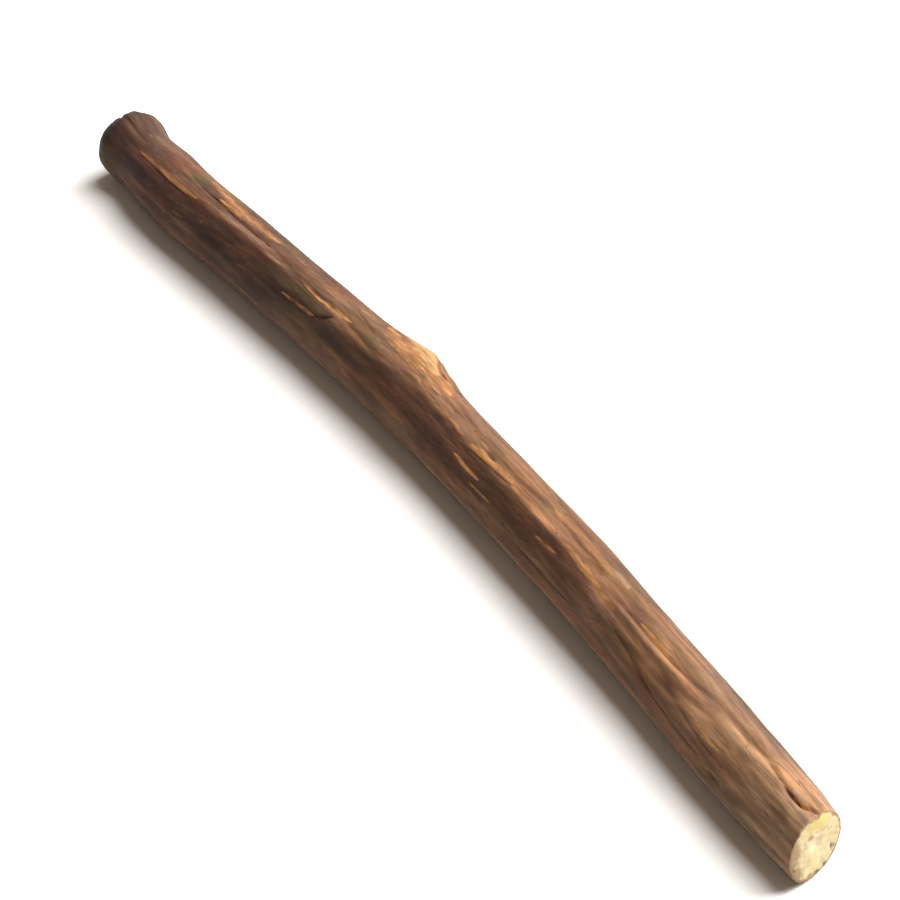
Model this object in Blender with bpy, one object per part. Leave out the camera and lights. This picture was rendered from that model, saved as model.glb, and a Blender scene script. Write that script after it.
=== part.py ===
# Silvervine stick: one length of a thin woody stem, bark on, cut off pale at one
# end and swollen into a knob at the other. It lies on its side, bowed sideways, so
# that it rests on its two ends and on the outside of the bend.
#
# The stick runs along X, knob first. Angles are degrees round its axis as seen from
# the cut end: 0 is +Y, the outside of the bend, 90 the top, 180 the inside and 270
# the underside. Every shape below is in millimetres and becomes metres at the end.

import math

import bmesh
import bpy
from mathutils import Vector, noise

MM = 0.001

# Driving sizes.
LENGTH = 129.6
BEND = 2.8
CUT_SKEW = 14.5
CUT_SKEW_SIDE = 19.0
CUT_SKEW_RUN = 7.0
KNOB_ROUNDING = 0.5
BARK_THICKNESS = 0.3
PITH_RADIUS = 0.75
PITH_DEPTH = 0.25

# Facets: sides round the stick, and rings in each stretch (from, to, rings).
SIDES = 44
RING_STRETCHES = (
    (0.0, 0.5, 3),
    (0.5, 6.0, 6),
    (6.0, 40.0, 18),
    (40.0, 64.0, 20),
    (64.0, 112.0, 22),
    (112.0, LENGTH, 12),
)

# Radius along the stick: the knob, its neck, the swelling at the knot, the cut end.
RADIUS = (
    (0.0, 3.62),
    (1.6, 3.92),
    (4.4, 3.64),
    (9.5, 3.87),
    (14.0, 3.82),
    (40.0, 3.87),
    (48.0, 3.95),
    (57.0, 3.98),
    (64.0, 3.84),
    (71.0, 3.75),
    (88.0, 3.76),
    (100.0, 3.71),
    (112.0, 3.77),
    (123.0, 3.69),
    (LENGTH, 3.52),
)

# Sideways bow, as a share of BEND.
SWAY = (
    (0.0, 0.03),
    (8.0, 0.0),
    (14.0, 0.03),
    (20.5, 0.21),
    (33.5, 0.55),
    (46.0, 0.86),
    (57.0, 1.0),
    (70.0, 0.95),
    (88.0, 0.79),
    (104.0, 0.49),
    (120.0, 0.18),
    (LENGTH, 0.05),
)

# Gap between the underside and the surface it lies on. Where this is negative the
# bark is worn flat by that much, and those flats carry the stick.
UNDERSIDE_GAP = (
    (0.0, 0.06),
    (8.0, -0.11),
    (14.0, -0.08),
    (26.0, 0.1),
    (42.0, 0.1),
    (54.0, -0.1),
    (62.0, -0.1),
    (78.0, 0.1),
    (100.0, 0.1),
    (114.0, -0.08),
    (121.0, -0.11),
    (LENGTH, 0.02),
)

# Folds of the bark along the grain: (path of (x, angle), height, half width in
# degrees). A negative height is a furrow.
FOLDS = (
    # The crest that faces the light all along, and the furrow above it.
    (((1, 102), (12, 100), (22, 98), (31, 101), (42, 105), (52, 100), (62, 93)), 0.16, 8),
    (((63, 97), (72, 99), (84, 100), (96, 103), (106, 104), (112, 101)), 0.16, 8),
    (((13, 74), (19, 85), (30, 88), (36, 98), (45, 102), (50, 108), (53, 115)), -0.12, 4),
    (((-1, 93), (2, 92.5), (4.5, 92)), -0.24, 4),
    (((70, 84), (77, 81), (84, 80), (90, 85), (97, 84)), -0.08, 5),
    # Wavy folds near the cut end.
    (((97, 97), (106, 96), (110, 90), (113, 82), (118, 84), (121, 80), (124, 87)), -0.14, 5),
    (((99, 78), (107, 72), (115, 67), (124, 73), (129, 64)), 0.14, 12),
    (((112, 100), (118, 102), (125, 105), (130, 104)), 0.14, 10),
    (((98, 128), (103, 140), (107, 152), (112, 158), (117, 157)), -0.1, 6),
    (((108, 128), (113, 135), (118, 141), (123, 138)), -0.08, 5),
    # The inside of the bend.
    (((66, 158), (75, 157), (84, 157), (93, 157)), -0.08, 5),
    (((70, 146), (84, 149), (96, 147), (106, 138)), 0.08, 8),
    (((12, 150), (30, 158), (48, 163), (60, 160)), 0.08, 9),
    (((5, 188), (24, 195), (48, 190), (70, 196)), -0.09, 6),
    (((64, 186), (86, 180), (106, 186), (127, 181)), 0.1, 10),
    (((2, 216), (30, 221), (60, 214), (90, 222), (126, 218)), 0.1, 10),
    (((10, 236), (40, 240), (72, 233), (108, 238)), -0.08, 6),
    # The outside of the bend.
    (((6, 306), (34, 300), (66, 308), (100, 302)), 0.09, 9),
    (((12, 324), (44, 317), (70, 324)), -0.09, 6),
    (((62, 338), (86, 346), (104, 340)), -0.09, 6),
    (((0, 350), (28, 356), (50, 350), (78, 357)), 0.1, 10),
    (((16, 15), (38, 20), (50, 14)), -0.08, 6),
    (((70, 22), (88, 28), (108, 20), (128, 26)), 0.1, 9),
    (((8, 48), (26, 52), (44, 46)), 0.08, 9),
    (((66, 54), (82, 58), (98, 50)), -0.07, 7),
)

# Single features: (x, angle, height, half length, half width). Negative is a pit.
LUMPS = (
    # The knot, a bud scar on a low mound, with its pit and the lip round it.
    (52.8, 39, 0.6, 3.6, 2.9),
    (55.8, 38, 0.46, 2.4, 2.3),
    (56.8, 41, -0.35, 1.0, 0.6),
    (54.6, 38, 0.16, 1.3, 1.4),
    (58.8, 36, 0.2, 1.4, 1.6),
    (59.3, 56, 0.16, 1.3, 0.8),
    (53.0, 114, 0.16, 2.6, 0.8),
    (60.5, 106, -0.14, 3.6, 0.8),
    # A smaller bud scar on the outside of the bend.
    (109.5, 333, 0.5, 3.2, 2.0),
    (111.2, 333, -0.4, 0.8, 0.55),
    # Shoulders of the knob.
    (1.9, 60, 0.16, 1.6, 1.6),
    (2.2, 150, 0.1, 1.8, 1.6),
    (1.8, 310, 0.14, 1.7, 1.8),
    (5.2, 192, -0.14, 1.6, 2.4),
    (4.6, 40, -0.08, 1.5, 2.0),
    # Small pits and bumps in the bark.
    (43.0, 120, -0.16, 0.6, 0.9),
    (71.6, 89, -0.12, 0.9, 0.35),
    (91.0, 88, -0.1, 1.3, 0.5),
    (118.0, 166, -0.18, 0.8, 0.5),
    (24.0, 200, -0.12, 1.2, 0.6),
    (84.0, 262, -0.1, 1.4, 0.6),
)

# Lobes of the knob's rim: (angle, how far it stands out, half width in degrees).
KNOB_LOBES = ((66, 0.26, 20), (132, 0.14, 30), (215, 0.18, 26), (300, 0.3, 30))
KNOB_LOBE_RUN = 2.5

# The knob's old end: how hollow, how rough, and the roughness's scale over the radius.
KNOB_HOLLOW = 0.35
KNOB_ROUGHNESS = 0.18
KNOB_ROUGHNESS_SCALE = 2.1
KNOB_ROUGHNESS_SEED = 3.0

# The lifted lip of bark at the cut end: the crack below it drops away on one side.
CRACK = ((124.2, 87), (126.2, 90.5), (127.8, 89), (129.0, 79), (130.5, 70))
CRACK_DEPTH = 0.28
CRACK_RUN = 2.5
CRACK_WIDTH = 5.0
CRACK_LIP_WIDTH = 1.67

# The sawn end's roughness.
CUT_ROUGHNESS = 0.06
CUT_ROUGHNESS_SCALE = 3.0
CUT_ROUGHNESS_SEED = 8.0

# The stem isn't quite round: share of the radius, where that starts in degrees, and
# how it twists in degrees per millimetre. Then a slow unevenness of the bark, its
# height and its scale along and round the stem.
OVAL = 0.012
OVAL_START = 40
OVAL_TWIST = 1.5
THREE_SIDED = 0.008
THREE_SIDED_START = -20
THREE_SIDED_TWIST = -0.8
UNDULATION = 0.08
UNDULATION_ALONG = 0.07
UNDULATION_ROUND = 1.6

# Length over which a fold fades in and out, rings across the wood of each end as
# shares of the radius, and the least angle of a sharp edge in degrees.
FOLD_FADE = 4.0
END_RINGS = (0.3, 0.3, 0.17)
SHARP_ANGLE = 50

BARK_COLOUR = (0.19, 0.105, 0.062, 1.0)
BARK_ROUGHNESS = 0.72


def clear_scene():
    for obj in list(bpy.data.objects):
        bpy.data.objects.remove(obj, do_unlink=True)


def smooth_curve(points, x):
    """Value at x of a smooth curve through the points, level beyond both ends."""
    if x <= points[0][0]:
        return points[0][1]
    if x >= points[-1][0]:
        return points[-1][1]
    i = 0
    while x > points[i + 1][0]:
        i += 1
    x0, y0 = points[i]
    x1, y1 = points[i + 1]
    span = x1 - x0
    before = points[i - 1] if i > 0 else points[i]
    after = points[i + 2] if i + 2 < len(points) else points[i + 1]
    slope0 = (y1 - before[1]) / (x1 - before[0]) * span
    slope1 = (after[1] - y0) / (after[0] - x0) * span
    t = (x - x0) / span
    return (
        (2 * t**3 - 3 * t**2 + 1) * y0
        + (t**3 - 2 * t**2 + t) * slope0
        + (3 * t**2 - 2 * t**3) * y1
        + (t**3 - t**2) * slope1
    )


def ease(t):
    t = min(max(t, 0.0), 1.0)
    return t * t * (3 - 2 * t)


def turn_between(angle, other):
    """Signed degrees from other to angle, the short way round."""
    return (angle - other + 180) % 360 - 180


def hump(distance, width):
    return math.exp(-((distance / width) ** 2))


def fold_relief(x, angle, path, height, width):
    """A fold follows its path and fades out over its last few millimetres."""
    start, end = path[0][0], path[-1][0]
    present = ease((x - start) / FOLD_FADE + 0.5) * ease((end - x) / FOLD_FADE + 0.5)
    if present == 0:
        return 0.0
    return height * present * hump(turn_between(angle, smooth_curve(path, x)), width)


def crack_relief(x, angle):
    """Deep at the lip and rising slowly away from it, down the stick's near side."""
    present = ease((x - CRACK[0][0]) / CRACK_RUN)
    away = turn_between(angle, smooth_curve(CRACK, x))
    width = CRACK_WIDTH if away > 0 else CRACK_LIP_WIDTH
    return -CRACK_DEPTH * present * hump(away, width)


def relief(x, angle):
    """Height of the bark over the smooth stem, in millimetres."""
    total = crack_relief(x, angle)
    for path, height, width in FOLDS:
        total += fold_relief(x, angle, path, height, width)
    radius = smooth_curve(RADIUS, x)
    for at_x, at_angle, height, half_length, half_width in LUMPS:
        along = (x - at_x) / half_length
        across = math.radians(turn_between(angle, at_angle)) * radius / half_width
        total += height * math.exp(-(along**2) - across**2)
    turn = math.radians(angle)
    across = Vector((0.0, math.cos(turn), math.sin(turn))) * UNDULATION_ROUND
    return total + UNDULATION * noise.noise(Vector((x * UNDULATION_ALONG, 0.0, 0.0)) + across)


def bark_radius(x, angle):
    """Distance from the axis to the bark."""
    radius = smooth_curve(RADIUS, x)
    oval_angle = math.radians(angle - OVAL_START - OVAL_TWIST * x)
    three_sided_angle = math.radians(angle - THREE_SIDED_START - THREE_SIDED_TWIST * x)
    radius *= 1 + OVAL * math.cos(2 * oval_angle)
    radius *= 1 + THREE_SIDED * math.cos(3 * three_sided_angle)
    if x < KNOB_ROUNDING:
        radius -= KNOB_ROUNDING - math.sqrt(KNOB_ROUNDING**2 - (KNOB_ROUNDING - x) ** 2)
    return radius + relief(x, angle)


def axis_point(x):
    """The stem's centre line."""
    lift = smooth_curve(RADIUS, x) + smooth_curve(UNDERSIDE_GAP, x)
    return Vector((x, BEND * smooth_curve(SWAY, x), lift))


def face_noise(share, angle, scale, seed):
    """Noise over an end of the stick."""
    turn = math.radians(angle)
    return noise.noise(Vector((share * scale * math.cos(turn), share * scale * math.sin(turn), seed)))


def knob_face(share, angle):
    """How far the knob's old, weathered end stands out or sinks in."""
    rough = face_noise(share, angle, KNOB_ROUGHNESS_SCALE, KNOB_ROUGHNESS_SEED)
    return KNOB_ROUGHNESS * rough - KNOB_HOLLOW * (1 - share**2)


def knob_rim(x, angle):
    """How far the lobes push the knob's end outwards."""
    out = sum(stand * hump(turn_between(angle, at), width) for at, stand, width in KNOB_LOBES)
    return out * (1 - ease(x / KNOB_LOBE_RUN))


def cut_face(share, angle, radius):
    """Relief of the sawn end: nearly flat, with the soft pith sunk in its middle."""
    rough = face_noise(share, angle, CUT_ROUGHNESS_SCALE, CUT_ROUGHNESS_SEED)
    pith = PITH_DEPTH * hump(share * radius, PITH_RADIUS)
    return CUT_ROUGHNESS * rough * (1 - share**4) - pith


def place(x, angle, share):
    """Where a point of the straight blank goes: share is 1 on the bark, 0 on the axis."""
    radius = bark_radius(x, angle)
    turn = math.radians(angle)
    skew = ease((x - (LENGTH - CUT_SKEW_RUN)) / CUT_SKEW_RUN)
    lean = math.tan(math.radians(CUT_SKEW)) * math.cos(turn - math.radians(CUT_SKEW_SIDE))
    point = axis_point(x)
    if share < 1 and x > LENGTH / 2:
        point.x += cut_face(share, angle, radius)
    elif share < 1:
        point.x += knob_face(share, angle)
    point.x -= skew * lean * share * radius + knob_rim(x, angle) * share
    point.y += share * radius * math.cos(turn)
    point.z += share * radius * math.sin(turn)
    point.z = max(point.z, 0.0)
    return point


def ring_places():
    """Distance along the stick of each ring of the blank."""
    places = [0.0]
    for start, end, rings in RING_STRETCHES:
        for ring in range(1, rings + 1):
            places.append(start + (end - start) * ring / rings)
    return places


def straight_blank(bm, rings):
    """A closed tube of radius 1 along Z with evenly spaced rings and ringed ends."""
    bmesh.ops.create_cone(
        bm, cap_ends=True, cap_tris=False, segments=SIDES, radius1=1, radius2=1, depth=1
    )
    long_edges = [e for e in bm.edges if abs(e.verts[0].co.z - e.verts[1].co.z) > 0.5]
    bmesh.ops.subdivide_edges(bm, edges=long_edges, cuts=rings - 1, use_grid_fill=False)
    caps = [f for f in bm.faces if abs(f.normal.z) > 0.5]
    for cap in caps:
        for thickness in (BARK_THICKNESS / RADIUS[-1][1], *END_RINGS):
            bmesh.ops.inset_region(bm, faces=[cap], thickness=thickness, use_even_offset=True)
    bmesh.ops.poke(bm, faces=caps)


def build_stick():
    places = ring_places()
    rings = len(places) - 1
    bm = bmesh.new()
    straight_blank(bm, rings)
    for vert in bm.verts:
        ring = round((vert.co.z + 0.5) * rings)
        angle = math.degrees(math.atan2(vert.co.y, vert.co.x)) % 360
        share = round(math.hypot(vert.co.x, vert.co.y), 4)
        vert.co = place(places[ring], angle, share) * MM
    bmesh.ops.recalc_face_normals(bm, faces=bm.faces)
    bmesh.ops.triangulate(bm, faces=bm.faces)
    # The origin is under the middle of the stick's box, on the surface it lies on.
    low = [min(v.co[i] for v in bm.verts) for i in range(3)]
    high = [max(v.co[i] for v in bm.verts) for i in range(3)]
    middle = Vector(((low[0] + high[0]) / 2, (low[1] + high[1]) / 2, low[2]))
    bmesh.ops.translate(bm, verts=bm.verts, vec=-middle)
    mesh = bpy.data.meshes.new("stick")
    bm.to_mesh(mesh)
    bm.free()
    mesh.shade_smooth()
    mesh.set_sharp_from_angle(angle=math.radians(SHARP_ANGLE))
    stick = bpy.data.objects.new("stick", mesh)
    bpy.context.scene.collection.objects.link(stick)
    return stick


def bark_material():
    material = bpy.data.materials.new("bark")
    material.use_nodes = True
    shader = material.node_tree.nodes["Principled BSDF"]
    shader.inputs["Base Color"].default_value = BARK_COLOUR
    shader.inputs["Roughness"].default_value = BARK_ROUGHNESS
    shader.inputs["Metallic"].default_value = 0.0
    return material


clear_scene()
build_stick().data.materials.append(bark_material())
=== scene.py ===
# Silvervine stick: fine bark, worn streaks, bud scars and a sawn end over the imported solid,
# on a plain pale floor in soft studio light.
# The stem's own measures are millimetres along it, knob first, and degrees round it as seen
# from the sawn end: 0 is the outside of the bend (+Y), 90 the top, 180 the inside.

import math
import random

import bmesh
import bpy
import numpy as np
from mathutils import Matrix, Vector, noise


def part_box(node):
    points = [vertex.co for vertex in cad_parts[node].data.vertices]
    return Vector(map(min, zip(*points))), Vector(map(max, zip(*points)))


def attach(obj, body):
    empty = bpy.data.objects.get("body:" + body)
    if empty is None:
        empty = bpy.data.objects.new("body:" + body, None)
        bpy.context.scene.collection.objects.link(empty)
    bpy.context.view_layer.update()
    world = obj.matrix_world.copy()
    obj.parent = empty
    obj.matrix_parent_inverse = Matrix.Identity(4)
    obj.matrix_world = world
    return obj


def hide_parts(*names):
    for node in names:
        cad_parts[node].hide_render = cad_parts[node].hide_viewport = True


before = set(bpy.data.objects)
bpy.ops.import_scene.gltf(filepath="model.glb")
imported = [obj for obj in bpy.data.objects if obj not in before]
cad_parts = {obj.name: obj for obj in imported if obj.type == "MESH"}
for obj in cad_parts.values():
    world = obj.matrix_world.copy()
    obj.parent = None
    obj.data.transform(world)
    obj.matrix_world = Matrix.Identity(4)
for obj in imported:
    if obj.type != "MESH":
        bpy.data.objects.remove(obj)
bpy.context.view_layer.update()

mm = 0.001
nearly = 1e-5
print("packed stick loaded")


# Small helpers, all on arrays of points

def smoothCurve(points, x):  # a smooth curve through (x, value) points, level beyond both ends
    px = np.array([p[0] for p in points], float)
    py = np.array([p[1] for p in points], float)
    x = np.clip(x, px[0], px[-1])
    i = np.clip(np.searchsorted(px, x, side="right") - 1, 0, len(px) - 2)
    before = np.maximum(i - 1, 0)
    after = np.minimum(i + 2, len(px) - 1)
    span = px[i + 1] - px[i]
    slopeIn = (py[i + 1] - py[before]) / (px[i + 1] - px[before]) * span
    slopeOut = (py[after] - py[i]) / (px[after] - px[i]) * span
    t = (x - px[i]) / span
    return (
        (2 * t**3 - 3 * t**2 + 1) * py[i]
        + (t**3 - 2 * t**2 + t) * slopeIn
        + (3 * t**2 - 2 * t**3) * py[i + 1]
        + (t**3 - t**2) * slopeOut
    )


def ease(t):
    t = np.clip(t, 0.0, 1.0)
    return t * t * (3 - 2 * t)


def turnBetween(angle, other):  # signed degrees, the short way round
    return (angle - other + 180) % 360 - 180


def arcBetween(angle, other, radius):  # the same in mm on the bark
    return np.radians(turnBetween(angle, other)) * radius


def hump(distance, width):
    return np.exp(-((distance / width) ** 2))


def noiseAt(places):
    return np.array([noise.noise(Vector(p)) for p in places.tolist()])


def noiseRound(x, angle, along, across, seed):  # noise that wraps round the stem with no seam
    turn = np.radians(angle)
    return noiseAt(np.stack((x * along, across * np.cos(turn), across * np.sin(turn) + seed), axis=1))


def diskCoords(share, angle, size, seed):  # where to read noise on an end face
    turn = np.radians(angle)
    return np.stack((share * size * np.cos(turn), share * size * np.sin(turn), 0 * turn + seed), axis=1)


# The stem's main form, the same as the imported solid's

stemForm = {
    "length": 129.6,
    "barkRadius": 3.8,       # nominal, for the sizes of marks and grain
    "bend": 2.8,             # how far the middle stands out of line
    "cutSkew": 14.5,         # lean of the sawn end, and the side it leans to
    "cutSkewSide": 19.0,
    "cutSkewRun": 7.0,
    "knobRounding": 0.5,
    "oval": (0.012, 40, 1.5),            # share of the radius, side it faces, degrees it turns per mm
    "threeSided": (0.008, -20, -0.8),
    "undulation": 0.08,
    "undulationNoise": (0.07, 1.6, 0),     # per mm along, size round the stem, seed
    "foldFade": 4.0,
    "pithRadius": 0.75,
    "pithDepth": 0.25,
    "radius": (
        (0.0, 3.62), (1.6, 3.92), (4.4, 3.64), (9.5, 3.87), (14.0, 3.82), (40.0, 3.87),
        (48.0, 3.95), (57.0, 3.98), (64.0, 3.84), (71.0, 3.75), (88.0, 3.76), (100.0, 3.71),
        (112.0, 3.77), (123.0, 3.69), (129.6, 3.52),
    ),
    "sway": (                # share of the bend
        (0.0, 0.03), (8.0, 0.0), (14.0, 0.03), (20.5, 0.21), (33.5, 0.55), (46.0, 0.86),
        (57.0, 1.0), (70.0, 0.95), (88.0, 0.79), (104.0, 0.49), (120.0, 0.18), (129.6, 0.05),
    ),
    "undersideGap": (        # below zero the bark is worn flat and carries the stick
        (0.0, 0.06), (8.0, -0.11), (14.0, -0.08), (26.0, 0.1), (42.0, 0.1), (54.0, -0.1),
        (62.0, -0.1), (78.0, 0.1), (100.0, 0.1), (114.0, -0.08), (121.0, -0.11), (129.6, 0.02),
    ),
    "folds": (               # path of (along, angle), height, half width in degrees
        (((1, 102), (12, 100), (22, 98), (31, 101), (42, 105), (52, 100), (62, 93)), 0.16, 8),
        (((63, 97), (72, 99), (84, 100), (96, 103), (106, 104), (112, 101)), 0.16, 8),
        (((13, 74), (19, 85), (30, 88), (36, 98), (45, 102), (50, 108), (53, 115)), -0.12, 4),
        (((-1, 93), (2, 92.5), (4.5, 92)), -0.24, 4),
        (((70, 84), (77, 81), (84, 80), (90, 85), (97, 84)), -0.08, 5),
        (((97, 97), (106, 96), (110, 90), (113, 82), (118, 84), (121, 80), (124, 87)), -0.14, 5),
        (((99, 78), (107, 72), (115, 67), (124, 73), (129, 64)), 0.14, 12),
        (((112, 100), (118, 102), (125, 105), (130, 104)), 0.14, 10),
        (((98, 128), (103, 140), (107, 152), (112, 158), (117, 157)), -0.1, 6),
        (((108, 128), (113, 135), (118, 141), (123, 138)), -0.08, 5),
        (((66, 158), (75, 157), (84, 157), (93, 157)), -0.08, 5),
        (((70, 146), (84, 149), (96, 147), (106, 138)), 0.08, 8),
        (((12, 150), (30, 158), (48, 163), (60, 160)), 0.08, 9),
        (((5, 188), (24, 195), (48, 190), (70, 196)), -0.09, 6),
        (((64, 186), (86, 180), (106, 186), (127, 181)), 0.1, 10),
        (((2, 216), (30, 221), (60, 214), (90, 222), (126, 218)), 0.1, 10),
        (((10, 236), (40, 240), (72, 233), (108, 238)), -0.08, 6),
        (((6, 306), (34, 300), (66, 308), (100, 302)), 0.09, 9),
        (((12, 324), (44, 317), (70, 324)), -0.09, 6),
        (((62, 338), (86, 346), (104, 340)), -0.09, 6),
        (((0, 350), (28, 356), (50, 350), (78, 357)), 0.1, 10),
        (((16, 15), (38, 20), (50, 14)), -0.08, 6),
        (((70, 22), (88, 28), (108, 20), (128, 26)), 0.1, 9),
        (((8, 48), (26, 52), (44, 46)), 0.08, 9),
        (((66, 54), (82, 58), (98, 50)), -0.07, 7),
    ),
    "lumps": (               # along, angle, height, half length, half width
        (52.8, 39, 0.6, 3.6, 2.9), (55.8, 38, 0.46, 2.4, 2.3), (56.8, 41, -0.35, 1.0, 0.6),
        (54.6, 38, 0.16, 1.3, 1.4), (58.8, 36, 0.2, 1.4, 1.6),
        (59.3, 56, 0.16, 1.3, 0.8), (53.0, 114, 0.16, 2.6, 0.8),
        (60.5, 106, -0.14, 3.6, 0.8), (109.5, 333, 0.5, 3.2, 2.0), (111.2, 333, -0.4, 0.8, 0.55),
        (1.9, 60, 0.16, 1.6, 1.6), (2.2, 150, 0.1, 1.8, 1.6), (1.8, 310, 0.14, 1.7, 1.8),
        (5.2, 192, -0.14, 1.6, 2.4), (4.6, 40, -0.08, 1.5, 2.0), (43.0, 120, -0.16, 0.6, 0.9),
        (71.6, 89, -0.12, 0.9, 0.35), (91.0, 88, -0.1, 1.3, 0.5), (118.0, 166, -0.18, 0.8, 0.5),
        (24.0, 200, -0.12, 1.2, 0.6), (84.0, 262, -0.1, 1.4, 0.6),
    ),
    "knobLobes": ((66, 0.26, 20), (132, 0.14, 30), (215, 0.18, 26), (300, 0.3, 30)),
    "knobLobeRun": 2.5,
    "crack": ((124.2, 87), (126.2, 90.5), (127.8, 89), (129.0, 79), (130.5, 70)),
    "crackDepth": 0.28,
    "crackWidth": 5.0,       # degrees
    "crackLipWidth": 5.0 / 3,
    "crackRun": 2.5,
    "cutRoughness": 0.06,
}


def foldRelief(x, angle, path, height, width):
    fade = stemForm["foldFade"]
    present = ease((x - path[0][0]) / fade + 0.5) * ease((path[-1][0] - x) / fade + 0.5)
    return height * present * hump(turnBetween(angle, smoothCurve(path, x)), width)


def crackRelief(x, angle):  # deep at the lip, rising slowly away from it down the near side
    path = stemForm["crack"]
    away = turnBetween(angle, smoothCurve(path, x))
    width = np.where(away > 0, stemForm["crackWidth"], stemForm["crackLipWidth"])
    return -stemForm["crackDepth"] * ease((x - path[0][0]) / stemForm["crackRun"]) * hump(away, width)


def mainRelief(x, angle):
    total = crackRelief(x, angle)
    for path, height, width in stemForm["folds"]:
        total += foldRelief(x, angle, path, height, width)
    radius = smoothCurve(stemForm["radius"], x)
    for atX, atAngle, height, halfLength, halfWidth in stemForm["lumps"]:
        along = (x - atX) / halfLength
        across = arcBetween(angle, atAngle, radius) / halfWidth
        total += height * np.exp(-(along**2) - across**2)
    return total + stemForm["undulation"] * noiseRound(x, angle, *stemForm["undulationNoise"])


def barkRadius(x, angle):
    radius = smoothCurve(stemForm["radius"], x)
    for sides, shape in ((2, "oval"), (3, "threeSided")):
        amount, facing, twist = stemForm[shape]
        radius = radius * (1 + amount * np.cos(np.radians(sides * (angle - facing - twist * x))))
    rounding = stemForm["knobRounding"]
    inside = np.clip(rounding - x, 0, rounding)
    return radius - (rounding - np.sqrt(rounding**2 - inside**2)) + mainRelief(x, angle)


def knobRim(x, angle):  # how far the lobes push the knob's end outwards
    out = sum(stand * hump(turnBetween(angle, at), width) for at, stand, width in stemForm["knobLobes"])
    return out * (1 - ease(x / stemForm["knobLobeRun"]))


def placeOnStem(x, angle, share, radius, faceRelief):  # share is 1 on the bark and 0 on the axis
    turn = np.radians(angle)
    run = stemForm["cutSkewRun"]
    skew = ease((x - (stemForm["length"] - run)) / run)
    lean = math.tan(math.radians(stemForm["cutSkew"])) * np.cos(turn - math.radians(stemForm["cutSkewSide"]))
    lift = smoothCurve(stemForm["radius"], x) + smoothCurve(stemForm["undersideGap"], x)
    px = x + faceRelief - skew * lean * share * radius - knobRim(x, angle) * share
    py = stemForm["bend"] * smoothCurve(stemForm["sway"], x) + share * radius * np.cos(turn)
    pz = np.maximum(lift + share * radius * np.sin(turn), 0)
    return np.stack((px, py, pz), axis=1)


# The blank: a closed tube with many rings, and ringed ends

stickBlank = {
    "sides": 184,
    "ringStretches": (       # from, to, rings
        (0.0, 0.6, 6), (0.6, 8.0, 30), (8.0, 126.0, 400), (126.0, 129.3, 18), (129.3, 129.6, 4),
    ),
    "barkThickness": 0.3,
    "rimInsets": 3,          # rings across the bark at each end, and across the wood
    "woodInsets": 13,
}


def ringPlaces():
    places = [0.0]
    for start, end, rings in stickBlank["ringStretches"]:
        places += [start + (end - start) * ring / rings for ring in range(1, rings + 1)]
    return np.array(places)


def straightBlank(bm, rings):
    bmesh.ops.create_cone(
        bm, cap_ends=True, cap_tris=False, segments=stickBlank["sides"], radius1=1, radius2=1, depth=1
    )
    longEdges = [e for e in bm.edges if abs(e.verts[0].co.z - e.verts[1].co.z) > 0.5]
    bmesh.ops.subdivide_edges(bm, edges=longEdges, cuts=rings - 1, use_grid_fill=False)
    rim = stickBlank["barkThickness"] / stemForm["radius"][-1][1]
    thicknesses = [rim / stickBlank["rimInsets"]] * stickBlank["rimInsets"]
    thicknesses += [(1 - rim) / (stickBlank["woodInsets"] + 1)] * stickBlank["woodInsets"]
    for cap in [f for f in bm.faces if abs(f.normal.z) > 0.5]:
        for thickness in thicknesses:
            bmesh.ops.inset_region(bm, faces=[cap], thickness=thickness, use_even_offset=True)
        bmesh.ops.poke(bm, faces=[cap])


# Marks on the bark: kind, path of (along, angle), half width in mm, strength

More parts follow.
